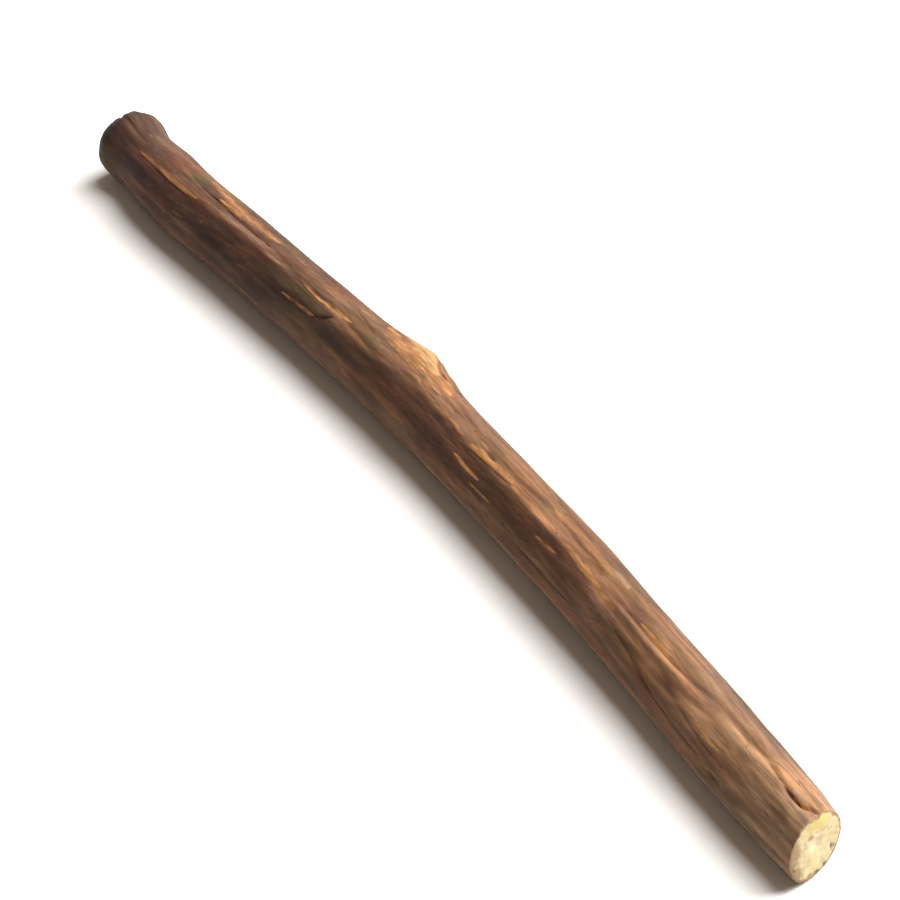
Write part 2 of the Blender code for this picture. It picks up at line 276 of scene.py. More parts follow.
barkMarks = (
    # Worn through to the orange inner bark.
    ("worn", ((6.6, 110), (12, 108), (18.2, 106)), 0.26, 1.0),
    ("worn", ((16.0, 57), (20, 64), (23, 71), (25.9, 77)), 0.8, 0.42),
    ("worn", ((20.0, 80), (23, 80), (26.0, 78)), 0.45, 0.75),
    ("worn", ((25.2, 69), (27.5, 70), (30.4, 70)), 0.55, 0.62),
    ("worn", ((36.8, 96), (39, 100), (41.6, 104)), 0.23, 0.85),
    ("worn", ((40.6, 102), (43.0, 100), (46.2, 98)), 0.26, 0.95),
    ("worn", ((36.6, 131), (39.5, 130), (42.6, 128)), 0.22, 0.95),
    ("worn", ((57.8, 88), (59.2, 88), (60.6, 88)), 0.34, 0.6),
    ("worn", ((68.8, 101), (72.5, 97), (76.4, 94)), 0.46, 1.0),
    ("worn", ((75.0, 96), (80.0, 98), (84.0, 99)), 0.21, 0.6),
    ("worn", ((61.5, 98), (64.5, 97), (67.5, 98)), 0.3, 0.5),
    ("worn", ((86.0, 99), (89.0, 101), (92.5, 103)), 0.45, 0.55),
    ("worn", ((89.6, 105), (93.0, 107), (97.0, 110)), 0.29, 1.0),
    ("worn", ((68.2, 127), (70.5, 129), (73.0, 130)), 0.22, 0.95),
    ("worn", ((72.0, 142), (74, 141.5), (76.0, 141)), 0.17, 0.7),
    ("worn", ((80.4, 66), (83.5, 70), (86.6, 71)), 0.6, 0.36),
    ("worn", ((83.4, 123), (85, 121), (86.8, 120)), 0.22, 0.85),
    ("worn", ((99.8, 92), (103, 93), (107.0, 97)), 0.29, 1.0),
    ("worn", ((112.2, 126), (114.5, 127), (117.0, 128)), 0.23, 0.95),
    ("worn", ((116.0, 114), (117.0, 114.5), (118.2, 115)), 0.26, 0.6),
    ("worn", ((109.1, 65), (109.8, 65), (110.5, 65)), 0.39, 0.45),
    ("worn", ((28.4, 146), (29.5, 143), (30.5, 143)), 0.21, 0.5),
    ("worn", ((13.0, 262), (16.5, 264), (20.5, 261)), 0.39, 0.8),
    ("worn", ((33.0, 318), (37.5, 321), (41.0, 320)), 0.4, 0.8),
    ("worn", ((64.5, 352), (68.0, 349), (73.5, 350)), 0.32, 0.85),
    ("worn", ((78.0, 221), (81.0, 219), (84.0, 221)), 0.34, 0.6),
    ("worn", ((95.0, 302), (99.0, 299), (103.5, 300)), 0.39, 0.8),
    ("worn", ((112.0, 12), (116.0, 15), (119.0, 14)), 0.36, 0.7),
    ("worn", ((47.0, 246), (51.0, 249), (54.0, 247)), 0.34, 0.6),
    # Rubbed pale where the bark stands out.
    ("pale", ((20.5, 99), (27, 97), (33.5, 101)), 0.4, 0.6),
    ("pale", ((16.3, 145), (17.2, 145), (18.2, 145)), 0.22, 0.4),
    ("pale", ((44.8, 66), (47, 68), (49.2, 66)), 0.7, 0.4),
    ("pale", ((49.8, 88), (51, 91), (52.2, 94)), 0.18, 0.5),
    ("pale", ((69.3, 83), (70, 84), (70.9, 86)), 0.2, 0.6),
    ("pale", ((77.4, 36), (79, 44), (80.4, 50)), 0.22, 0.8),
    ("pale", ((92.3, 64), (93.8, 65), (95.2, 66)), 0.62, 0.6),
    ("pale", ((97.2, 103), (102, 104), (106.8, 104)), 0.26, 0.42),
    ("pale", ((107.4, 50), (108, 50), (108.7, 50)), 0.2, 0.6),
    ("pale", ((110.4, 68), (111, 68), (111.8, 68)), 0.25, 0.55),
    ("pale", ((115.8, 112), (116.5, 112), (117.3, 112)), 0.22, 0.75),
    ("pale", ((79.5, 147), (88, 148), (95.5, 147)), 0.16, 0.35),
    ("worn", ((48.5, 52), (54.0, 60), (61.5, 66)), 2.3, 0.6),
    ("bare", ((50.6, 37), (54.4, 44), (58.2, 60)), 1.3, 0.95),
    ("bare", ((58.0, 77), (59.4, 79), (61.0, 81)), 0.34, 0.5),
    ("bare", ((56.7, 28), (58.4, 29), (60.6, 34)), 0.45, 0.6),
    # Dark fissures and stains; the lines just below flaked bark, the knot's pit and the crack near the sawn
    # end are partly painted shadow.
    ("dark", ((6.5, 114), (12, 113), (18, 113)), 0.18, 0.7),
    ("dark", ((13.6, 74), (17, 83), (20, 84), (25, 88), (30.4, 88)), 0.13, 0.8),
    ("dark", ((34.6, 100), (38, 103), (42.6, 107)), 0.14, 0.7),
    ("dark", ((36.6, 136), (39.5, 135), (42.4, 133)), 0.16, 0.6),
    ("dark", ((41.6, 132), (42.8, 122), (44.2, 110)), 0.3, 0.9),
    ("dark", ((45.8, 77), (47.5, 82), (49.2, 87)), 0.13, 0.7),
    ("dark", ((54.4, 22), (56.5, 42), (58.2, 51), (59.4, 53)), 0.3, 0.95),
    ("dark", ((58.4, 90), (59.4, 89), (60.6, 89)), 0.3, 0.6),
    ("dark", ((61.5, 95), (64, 99), (66.5, 105)), 0.22, 0.4),
    ("dark", ((68.8, 107), (72.5, 103), (76.6, 100)), 0.18, 0.75),
    ("dark", ((70.8, 88), (71.6, 89), (72.5, 90)), 0.25, 0.85),
    ("dark", ((72.6, 79), (77, 82), (81.4, 80)), 0.28, 0.4),
    ("dark", ((89.2, 87), (90.8, 88), (92.4, 88)), 0.4, 0.5),
    ("dark", ((79.6, 157), (86, 157), (92.4, 157)), 0.2, 0.5),
    ("dark", ((97.6, 96), (104, 96), (110.2, 92)), 0.16, 0.5),
    ("dark", ((106.2, 119), (107.5, 119), (109, 119)), 0.3, 0.55),
    ("dark", ((109, 91), (112.5, 83), (117, 84), (119.5, 89)), 0.15, 0.32),
    ("dark", ((118.6, 80), (121, 80), (124, 87), (126, 90), (128, 89), (129.4, 77)), 0.15, 0.5),
    ("dark", ((124.8, 89.5), (126.2, 91), (127.6, 89.5)), 0.2, 0.8),
    ("worn", ((126.3, 90), (128.0, 86), (129.6, 79)), 0.32, 0.8),
    ("dark", ((98.5, 129), (103, 140), (107, 153), (112, 158), (115.5, 158)), 0.2, 0.5),
    ("dark", ((109.8, 130), (114, 138), (118.4, 141)), 0.17, 0.45),
    ("dark", ((117.0, 164), (118, 166), (119.2, 166)), 0.26, 0.5),
    ("dark", ((22.0, 202), (27.0, 198), (33.0, 197)), 0.14, 0.6),
    ("dark", ((8.0, 238), (14.0, 236), (21.0, 239)), 0.14, 0.6),
    ("dark", ((58.0, 262), (64.0, 266), (69.0, 263)), 0.14, 0.6),
    ("dark", ((80.0, 322), (88.0, 326), (94.0, 322)), 0.14, 0.6),
    ("dark", ((101.0, 258), (106.0, 254), (112.0, 256)), 0.14, 0.6),
    ("dark", ((24.0, 340), (31.0, 344), (38.0, 341)), 0.14, 0.6),
    ("dark", ((117.0, 300), (122.0, 304), (127.0, 300)), 0.14, 0.6),
)

barkTints = (                # kind, along, angle, half length, half width in mm, strength
    ("green", 15.0, 76, 1.6, 0.8, 0.6),
    ("green", 38.0, 114, 4.5, 0.5, 0.7),
    ("green", 40.5, 150, 3.5, 0.9, 0.5),
    ("green", 44.0, 78, 1.6, 0.8, 0.4),
    ("green", 50.0, 96, 1.6, 0.7, 0.5),
    ("green", 6.5, 72, 1.5, 0.8, 0.4),
    ("green", 100.0, 132, 3.0, 0.8, 0.4),
    ("green", 30.0, 290, 6.0, 1.2, 0.4),
    ("green", 88.0, 240, 6.0, 1.4, 0.4),
    ("green", 3.0, 172, 3.0, 1.6, 0.5),
    ("red", 11.0, 80, 2.0, 0.8, 0.5),
    ("red", 9.0, 120, 3.0, 0.5, 0.5),
    ("red", 29.5, 150, 1.0, 0.5, 0.5),
    ("red", 45.5, 163, 1.6, 0.5, 0.5),
    ("red", 56.0, 128, 3.0, 0.5, 0.4),
    ("red", 63.5, 158, 1.4, 0.5, 0.4),
    ("red", 86.3, 110, 1.8, 0.5, 0.6),
    ("red", 108.0, 119, 1.4, 0.5, 0.5),
    ("red", 121.0, 167, 1.4, 0.6, 0.6),
    # The next two long bands darken the bark along the edge of the dark side: painted shade.
    ("red", 32.0, 108, 5.0, 0.4, 0.5),
    ("red", 20.0, 112, 5.0, 0.4, 0.4),
    ("red", 70.0, 290, 5.0, 1.0, 0.4),
    ("red", 116.0, 220, 5.0, 1.0, 0.4),
    ("red", 126.6, 91, 1.8, 0.35, 0.9),
    ("red", 128.8, 82, 1.0, 0.35, 0.8),
)


# Fine relief of the bark, the knot, the knob and the sawn face

barkDetail = {
    "waveAngle": 5.0,        # degrees the grain wanders
    "waveNoise": (0.06, 0.9, 20),
    "wrinkles": (            # noise per mm across, stretch along the grain, height in mm
        (0.5, 7.0, 0.06), (1.1, 7.0, 0.032), (2.2, 6.0, 0.014),
    ),
    "wrinkleSeeds": (40, 50, 60),
    "ragged": 0.45,          # how torn the edges of the marks are
    "raggedNoise": ((0.35, 1.6, 90, 1.0), (0.7, 3.6, 95, 0.8)),     # per mm along and round, seed, weight
    "strokeReach": (0.7, 0.4),     # share of a mark's half width, bluntness of its ends
    "strokeEdge": (2.3, 2.2),      # where a mark is gone and how soft its edge is, in half widths
    "strokeStrength": (1.15, 0.6, 1.4),     # mean, least and most
    "tintTear": 0.8,
    "wanderNoise": (0.09, 0.8, 130),
    "wander": (22, 9),       # degrees that the bands' edges wander, slowly and in small tears
    "bandFade": 8,
    "weathered": (           # painted shade in darkened bands on the top, on the dark side near the sawn end and underneath: angle, half width, strength, from and to along the stem
        (36, 20, 0.35, -20, 150), (34, 18, 0.4, 58, 120),
        (250, 30, 0.6, -20, 150), (166, 34, 0.38, 116, 150),
    ),
    "crestEdge": (           # where the crest gives way to the painted shade of the dark side
        (0, 113), (8, 113), (16, 112), (22, 105), (30, 105), (36, 112), (44, 115), (50, 113),
        (56, 106), (70, 104), (84, 107), (92, 113), (100, 118), (110, 121), (130, 120),
    ),
    "crestLine": (0.25, 13),       # share of the wander in that edge, and how soft it is in degrees
    "darkSideEnd": (150.0, 22.0, 0.5),      # far edge of the painted shade on the dark side, its softness, share of the wander
    # how strong the painted shade on the dark side is along the stem
    "darkSideStrength": (
        (0, 0.65), (7, 0.65), (15, 0.76), (24, 0.95), (31, 0.92), (38, 0.74), (46, 0.95), (66, 1.0),
        (85, 0.9), (98, 0.52), (108, 0.12), (116, 0.0), (121, 0.42), (126, 0.82), (130, 0.85),
    ),
    "rubAndPaintedLightOnCrest": (2.5, 6.5, 0.62),     # lighter band above the edge, partly rubbed bark and partly painted light: how far above the edge, half width, strength
    "paintedLightNearEnd": (128.5, 60, 8.0, 32, 0.85),     # painted light on the top near the sawn end: along, angle, half length, half width, strength
    "wornDepth": 0.03,
    "paleHeight": 0.015,
    "darkDepth": 0.1,
    "lenticels": 100,
    "lenticelHeight": 0.05,
    "lenticelHalfLength": (0.22, 0.5),
    "lenticelHalfWidth": (0.1, 0.17),
    "lenticelRun": (5, 127),
    "lenticelStrength": (0.4, 1),
    "lenticelSeed": 11,
    "budScars": ((56.8, 40, 0.9), (111.2, 333, 0.7)),   # along, angle, size
    "scarRingGap": 0.42,
    "scarRingHeight": 0.06,
    "scarRingBand": (1.5, 0.55),     # how far out the rings are, and half the band's width
    "scarNarrowing": 0.75,
    "scarRadius": 3.9,
    "rimRounding": 0.1,
    "smoothStart": 0.6,      # mm at the knob's rim over which the fine relief comes in
    "furrowGain": 9,
}


def wrinkleRelief(x, angle):
    wandered = angle + barkDetail["waveAngle"] * noiseRound(x, angle, *barkDetail["waveNoise"])
    total = np.zeros(len(x))
    for seed, (perMm, stretch, height) in zip(barkDetail["wrinkleSeeds"], barkDetail["wrinkles"]):
        n = noiseRound(x, wandered, perMm / stretch, perMm * stemForm["barkRadius"], seed)
        total += height * (1 - 3 * np.abs(n))
    return total


def strokeMask(x, angle, path, halfWidth, ragged):  # a spindle along the path with torn edges
    start, end = path[0][0], path[-1][0]
    share, bluntness = barkDetail["strokeReach"]
    gone, softness = barkDetail["strokeEdge"]
    mean, least, most = barkDetail["strokeStrength"]
    along = np.clip((x - start) / (end - start), 0, 1)
    reach = share * halfWidth * np.sin(np.pi * along) ** bluntness + 1e-6
    across = np.abs(arcBetween(angle, smoothCurve(path, x), stemForm["barkRadius"]))
    outwards = across / reach + barkDetail["ragged"] * ragged
    return ease((gone - outwards) / softness) * np.clip(mean + ragged, least, most) * (reach > nearly)


def raggedNoise(x, angle):
    total = np.zeros(len(x))
    for along, across, seed, weight in barkDetail["raggedNoise"]:
        total += weight * noiseRound(x, angle, along, across * stemForm["barkRadius"], seed)
    return total


def markMasks(x, angle, ragged):
    masks = {kind: np.zeros(len(x)) for kind in ("worn", "bare", "pale", "dark", "green", "red")}
    for kind, path, halfWidth, strength in barkMarks:
        masks[kind] = np.maximum(masks[kind], strength * strokeMask(x, angle, path, halfWidth, ragged))
    for kind, atX, atAngle, halfLength, halfWidth, strength in barkTints:
        across = arcBetween(angle, atAngle, stemForm["barkRadius"]) / halfWidth
        shape = np.exp(-(((x - atX) / halfLength) ** 2) - across**2 - barkDetail["tintTear"] * ragged)
        masks[kind] = np.maximum(masks[kind], strength * np.clip(shape, 0, 1))
    return masks


def sideMasks(x, angle, ragged):  # painted shade in the darkened bands and on the dark side, and painted light with some rubbing on the crest and on the top near the sawn end
    slow, torn = barkDetail["wander"]
    wander = slow * noiseRound(x, angle, *barkDetail["wanderNoise"]) + torn * ragged
    # Painted shade in the darkened bands.
    fade = barkDetail["bandFade"]
    weathered = np.zeros(len(x))
    for at, width, strength, start, end in barkDetail["weathered"]:
        present = strength * ease((x - start) / fade) * ease((end - x) / fade)
        weathered = np.maximum(weathered, present * hump(turnBetween(angle, at) + wander, width))

    # Painted shade on the dark side, from the crest's edge round to its far edge.
    crestWander, crestSoftness = barkDetail["crestLine"]
    below = turnBetween(angle, smoothCurve(barkDetail["crestEdge"], x)) + crestWander * wander
    end, softness, endWander = barkDetail["darkSideEnd"]
    side = smoothCurve(barkDetail["darkSideStrength"], x) * ease(0.5 + below / crestSoftness)
    side = side * ease(0.5 + (end - angle - endWander * wander) / softness)
    weathered = np.maximum(weathered, side)

    # Painted light, with some rubbing on the crest, just above that edge and on the top near the sawn end.
    above, width, strength = barkDetail["rubAndPaintedLightOnCrest"]
    crest = strength * hump(below + above, width)
    atX, at, halfLength, halfWidth, strength = barkDetail["paintedLightNearEnd"]
    rubbedAndEndLight = strength * hump(x - atX, halfLength) * hump(turnBetween(angle, at), halfWidth)
    return {"weathered": weathered, "crest": np.maximum(crest, rubbedAndEndLight)}


def lenticelMask(x, angle):
    rng = random.Random(barkDetail["lenticelSeed"])
    total = np.zeros(len(x))
    for i in range(barkDetail["lenticels"]):
        atX = rng.uniform(*barkDetail["lenticelRun"])
        atAngle = rng.uniform(0, 360)
        halfLength = rng.uniform(*barkDetail["lenticelHalfLength"])
        halfWidth = rng.uniform(*barkDetail["lenticelHalfWidth"])
        strength = rng.uniform(*barkDetail["lenticelStrength"])
        along = (x - atX) / halfLength
        across = arcBetween(angle, atAngle, stemForm["barkRadius"]) / halfWidth
        total = np.maximum(total, strength * np.exp(-(along**2) - across**2))
    return total


def scarRelief(x, angle):  # rings of bark round each bud scar
    total = np.zeros(len(x))
    bandAt, bandWidth = barkDetail["scarRingBand"]
    for atX, atAngle, size in barkDetail["budScars"]:
        across = arcBetween(angle, atAngle, barkDetail["scarRadius"]) / barkDetail["scarNarrowing"]
        distance = np.sqrt((x - atX) ** 2 + across**2) / size
        rings = np.cos(2 * np.pi * distance / barkDetail["scarRingGap"])
        total += barkDetail["scarRingHeight"] * size * rings * hump(distance - bandAt, bandWidth)
    return total


knobEnd = {
    "hollow": 0.35,          # depth in mm at the middle
    "roughness": ((1, 0.18), (4, 0.05), (9, 0.03)),     # fineness, height in mm
    "noiseSize": 2.1,
    "seed": 3,
}


def knobFace(share, angle):
    places = diskCoords(share, angle, knobEnd["noiseSize"], knobEnd["seed"])
    rough = sum(height * noiseAt(places * fineness) for fineness, height in knobEnd["roughness"])
    return -knobEnd["hollow"] * (1 - share**2) + rough


sawnFace = {
    "sawMarkGap": 0.7,       # mm between the saw's scratches, and their depth
    "sawMarkDepth": 0.01,
    "sawAngle": 62,
    "sawWobble": (0.7, 0.25),     # fineness, mm
    "fibreRoughness": (2.2, 0.02),
    "noiseSize": 3,
    "seed": 8,
    "belowRim": 0.02,
    "spotTear": (1.7, 0.3),     # fineness, mm
    "spotSeeds": (4, 9),
    "lump": (0.86, 2.64, 1.15, 0.75, 0.18),     # across, up, half sizes and height in mm
    "spots": (               # kind, across and up in mm, half sizes, strength, depth in mm
        ("yellow", 0.86, 2.5, 1.7, 1.05, 1.1, 0.0),
        ("yellow", -0.5, -2.2, 1.0, 0.6, 0.5, 0.0),
        ("tan", -0.43, 1.39, 0.42, 0.42, 1.0, 0.07),
        ("tan", 0.6, 1.36, 0.45, 0.15, 0.8, 0.06),
        ("tan", 1.4, 0.95, 0.5, 0.15, 0.8, 0.06),
        ("tan", 2.2, 0.52, 0.5, 0.15, 0.7, 0.05),
        ("tan", -1.25, 0.95, 0.2, 0.5, 0.7, 0.03),
        ("tan", -1.5, 0.2, 0.2, 0.45, 0.7, 0.03),
        # The next three, large and at the face's left and bottom edge, are tan wood with painted shade.
        ("tan", -3.0, 1.2, 1.1, 1.9, 1.5, 0.02),
        ("tan", -2.8, -1.5, 0.8, 1.1, 1.3, 0.0),
        ("tan", -1.3, -3.0, 1.2, 0.45, 0.9, 0.0),
        ("brown", 2.09, -1.7, 0.32, 0.55, 1.0, 0.12),
        ("brown", 0.79, -2.96, 0.26, 0.24, 0.8, 0.1),
        ("brown", -0.24, -3.25, 0.45, 0.3, 1.0, 0.16),
        ("brown", -3.2, -0.7, 0.35, 0.6, 1.0, 0.08),
        ("brown", -2.4, 2.4, 0.3, 0.4, 0.6, 0.05),
    ),
}


def facePlace(share, angle, radius):
    turn = np.radians(angle)
    return share * radius * np.cos(turn), share * radius * np.sin(turn)


def spotShape(across, up, spot):
    return np.exp(-(((across - spot[0]) / spot[2]) ** 2) - ((up - spot[1]) / spot[3]) ** 2)


def cutFace(share, angle, radius):
    across, up = facePlace(share, angle, radius)
    places = diskCoords(share, angle, sawnFace["noiseSize"], sawnFace["seed"])
    relief = stemForm["cutRoughness"] * noiseAt(places) * (1 - share**4)
    relief -= stemForm["pithDepth"] * hump(share * radius, stemForm["pithRadius"])
    saw = math.radians(sawnFace["sawAngle"])
    fineness, wobble = sawnFace["sawWobble"]
    travel = across * math.cos(saw) + up * math.sin(saw) + wobble * noiseAt(places * fineness)
    relief += sawnFace["sawMarkDepth"] * np.sin(2 * np.pi * travel / sawnFace["sawMarkGap"])
    fineness, height = sawnFace["fibreRoughness"]
    relief += height * noiseAt(places * fineness)
    *lump, height = sawnFace["lump"]
    relief += height * spotShape(across, up, lump)
    for kind, *spot, strength, depth in sawnFace["spots"]:
        relief -= depth * spotShape(across, up, spot)
    return relief


def faceMasks(share, angle, radius):
    across, up = facePlace(share, angle, radius)
    fineness, tear = sawnFace["spotTear"]
    seed, further = sawnFace["spotSeeds"]
    places = np.stack((across, up, 0 * up + seed), axis=1) * fineness
    across = across + tear * noiseAt(places)
    up = up + tear * noiseAt(places + further)
    masks = {kind: np.zeros(len(share)) for kind in ("yellow", "tan", "brown")}
    for kind, *spot, strength, depth in sawnFace["spots"]:
        masks[kind] = np.maximum(masks[kind], strength * spotShape(across, up, spot))
    return masks


def blankMesh(rings):  # bark, sawn end and knob's end take the materials in that order
    bm = bmesh.new()
    straightBlank(bm, rings)
    bmesh.ops.recalc_face_normals(bm, faces=bm.faces)
    for face in bm.faces:
        heights = [v.co.z for v in face.verts]
        face.material_index = 0
        if min(heights) > 0.5 - nearly:
            face.material_index = 1
        elif max(heights) < nearly - 0.5:
            face.material_index = 2
    mesh = bpy.data.meshes.new("stick_bark")
    bm.to_mesh(mesh)
    bm.free()
    return mesh


def readBlank(mesh, places):  # each point's place along the stem, its angle and its share of the radius
    co = np.empty(len(mesh.vertices) * 3)
    mesh.vertices.foreach_get("co", co)
    co = co.reshape(-1, 3)
    x = places[np.rint((co[:, 2] + 0.5) * (len(places) - 1)).astype(int)]
    angle = np.degrees(np.arctan2(co[:, 1], co[:, 0])) % 360
    share = np.hypot(co[:, 0], co[:, 1])
    return x, angle, np.where(share > 0.999, 1.0, share)


def fineRelief(x, angle, masks):
    total = masks["wrinkles"] + scarRelief(x, angle) + barkDetail["lenticelHeight"] * masks["lenticel"]
    total += barkDetail["paleHeight"] * masks["pale"]
    total -= barkDetail["wornDepth"] * masks["worn"] + barkDetail["darkDepth"] * masks["dark"]
    total *= ease(x / barkDetail["smoothStart"])
    rounding = barkDetail["rimRounding"]
    inside = np.clip(x - (stemForm["length"] - rounding), 0, rounding)
    return total - (rounding - np.sqrt(rounding**2 - inside**2))


def intoFrame(points, plain):  # the middle goes where the solid's is, and nothing stands out of its box
    low, high = (np.array(corner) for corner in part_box("stick"))
    middle = (plain.min(axis=0) + plain.max(axis=0)) / 2
    shift = (low + high) / 2 - middle * mm
    shift[2] = 0
    return np.clip(points * mm + shift, low, high)


def storeValues(mesh, x, angle, share, values):  # what the materials read
    turn = np.radians(angle)
    girth = stemForm["barkRadius"] * share
    straight = np.stack((x, girth * np.cos(turn), girth * np.sin(turn)), axis=1)
    grain = mesh.attributes.new("grainPlace", "FLOAT_VECTOR", "POINT")
    grain.data.foreach_set("vector", straight.astype(np.float32).ravel())
    for name, value in values.items():
        layer = mesh.attributes.new(name, "FLOAT", "POINT")
        layer.data.foreach_set("value", value.astype(np.float32))


def buildStick():
    places = ringPlaces()
    mesh = blankMesh(len(places) - 1)
    x, angle, share = readBlank(mesh, places)
    ragged = raggedNoise(x, angle)
    masks = markMasks(x, angle, ragged) | sideMasks(x, angle, ragged)
    masks["lenticel"] = lenticelMask(x, angle)
    masks["wrinkles"] = wrinkleRelief(x, angle)

    smooth = barkRadius(x, angle)
    radius = smooth + fineRelief(x, angle, masks)
    onEnd = share < 1
    atCut = x > stemForm["length"] / 2
    knob = knobFace(share, angle)
    plainEnds = np.where(onEnd, np.where(atCut, -sawnFace["belowRim"], knob), 0)
    ends = np.where(onEnd, np.where(atCut, cutFace(share, angle, radius), knob), 0)
    plain = placeOnStem(x, angle, share, smooth, plainEnds)
    points = intoFrame(placeOnStem(x, angle, share, radius, ends), plain)
    mesh.vertices.foreach_set("co", points.ravel())

    values = {
        "wornBark": masks["worn"], "paleBark": masks["pale"], "darkBark": masks["dark"],
        "bareWood": masks["bare"], "greenBark": masks["green"], "redBark": masks["red"],
        # painted shade: darker where the wrinkles sink
        "furrow": np.clip(0.5 - masks["wrinkles"] * barkDetail["furrowGain"], 0, 1), "share": share,
    }
    values |= {name: masks[name] for name in ("lenticel", "weathered", "crest")}
    for kind, spots in faceMasks(share, angle, radius).items():
        values["face" + kind.title()] = spots * (onEnd & atCut)
    storeValues(mesh, x, angle, share, values)
    mesh.update()
    mesh.shade_smooth()
    mesh.set_sharp_from_angle(angle=math.radians(60))
    stick = bpy.data.objects.new("stick_bark", mesh)
    bpy.context.scene.collection.objects.link(stick)
    return stick


# Materials

class NodeMaker:  # short ways to add and join shader nodes
    def __init__(self, name):
        self.material = bpy.data.materials.new(name)
        self.material.use_nodes = True
        self.tree = self.material.node_tree
        self.shader = self.tree.nodes["Principled BSDF"]
        self.column = 0

    def add(self, kind, **settings):
        node = self.tree.nodes.new(kind)
        self.column += 1
        node.location = (-220 * (self.column % 9) - 300, -180 * (self.column // 9))
        for key, value in settings.items():
            setattr(node, key, value)
        return node

    def join(self, source, target):
        self.tree.links.new(source, target)

    def attribute(self, name, output="Fac"):
        return self.add("ShaderNodeAttribute", attribute_name=name).outputs[output]

    def noise(self, coords, scale, stretch, detail=3.0, seed=0.0):  # stretch draws it out along the grain
        mapping = self.add("ShaderNodeMapping")
        mapping.inputs["Scale"].default_value = (scale / stretch, scale, scale)
        mapping.inputs["Location"].default_value = (seed, seed * 0.7, seed * 0.3)
        self.join(coords, mapping.inputs["Vector"])
        texture = self.add("ShaderNodeTexNoise")
        texture.inputs["Scale"].default_value = 1.0
        texture.inputs["Detail"].default_value = detail
        texture.inputs["Roughness"].default_value = 0.6
        self.join(mapping.outputs["Vector"], texture.inputs["Vector"])
        return texture.outputs["Fac"]

    def range(self, value, low, high, toLow=0.0, toHigh=1.0):
        node = self.add("ShaderNodeMapRange", clamp=True)
        node.inputs["From Min"].default_value = low
        node.inputs["From Max"].default_value = high
        node.inputs["To Min"].default_value = toLow
        node.inputs["To Max"].default_value = toHigh
        self.join(value, node.inputs["Value"])
        return node.outputs["Result"]

    def put(self, value, socket):  # a number, a colour or another node's output
        if isinstance(value, (int, float)):
            socket.default_value = value
        elif isinstance(value, tuple):
            socket.default_value = (*value, 1.0)
        else:
            self.join(value, socket)

    def math(self, operation, first, second):
        node = self.add("ShaderNodeMath", operation=operation)
        self.put(first, node.inputs[0])
        self.put(second, node.inputs[1])
        return node.outputs["Value"]

    def mix(self, factor, first, second, blend="MIX"):
        node = self.add("ShaderNodeMix", data_type="RGBA", blend_type=blend)
        for socket, value in ((0, factor), (6, first), (7, second)):
            self.put(value, node.inputs[socket])
        return node.outputs[2]

    def plain(self, colour):
        node = self.add("ShaderNodeRGB")
        node.outputs[0].default_value = (*colour, 1.0)
        return node.outputs[0]

    def scale(self, colour, factor):  # lighter or darker by a factor
        node = self.add("ShaderNodeVectorMath", operation="SCALE")
        self.join(colour, node.inputs["Vector"])
        self.put(factor, node.inputs["Scale"])
        return node.outputs["Vector"]

    def ramp(self, value, stops):
        node = self.add("ShaderNodeValToRGB")
        elements = node.color_ramp.elements
        while len(elements) < len(stops):
            elements.new(0.5)
        for element, (position, colour) in zip(elements, stops):
            element.position = position
            element.color = (*colour, 1.0)
        self.join(value, node.inputs["Fac"])
        return node.outputs["Color"]

    def bump(self, height, distance, strength, normal=None):
        node = self.add("ShaderNodeBump")
        node.inputs["Distance"].default_value = distance
        node.inputs["Strength"].default_value = strength
        self.join(height, node.inputs["Height"])
        if normal is not None:
            self.join(normal, node.inputs["Normal"])
        return node.outputs["Normal"]


middleNoise = (0.3, 0.7)     # nearly all values of a noise texture lie between these

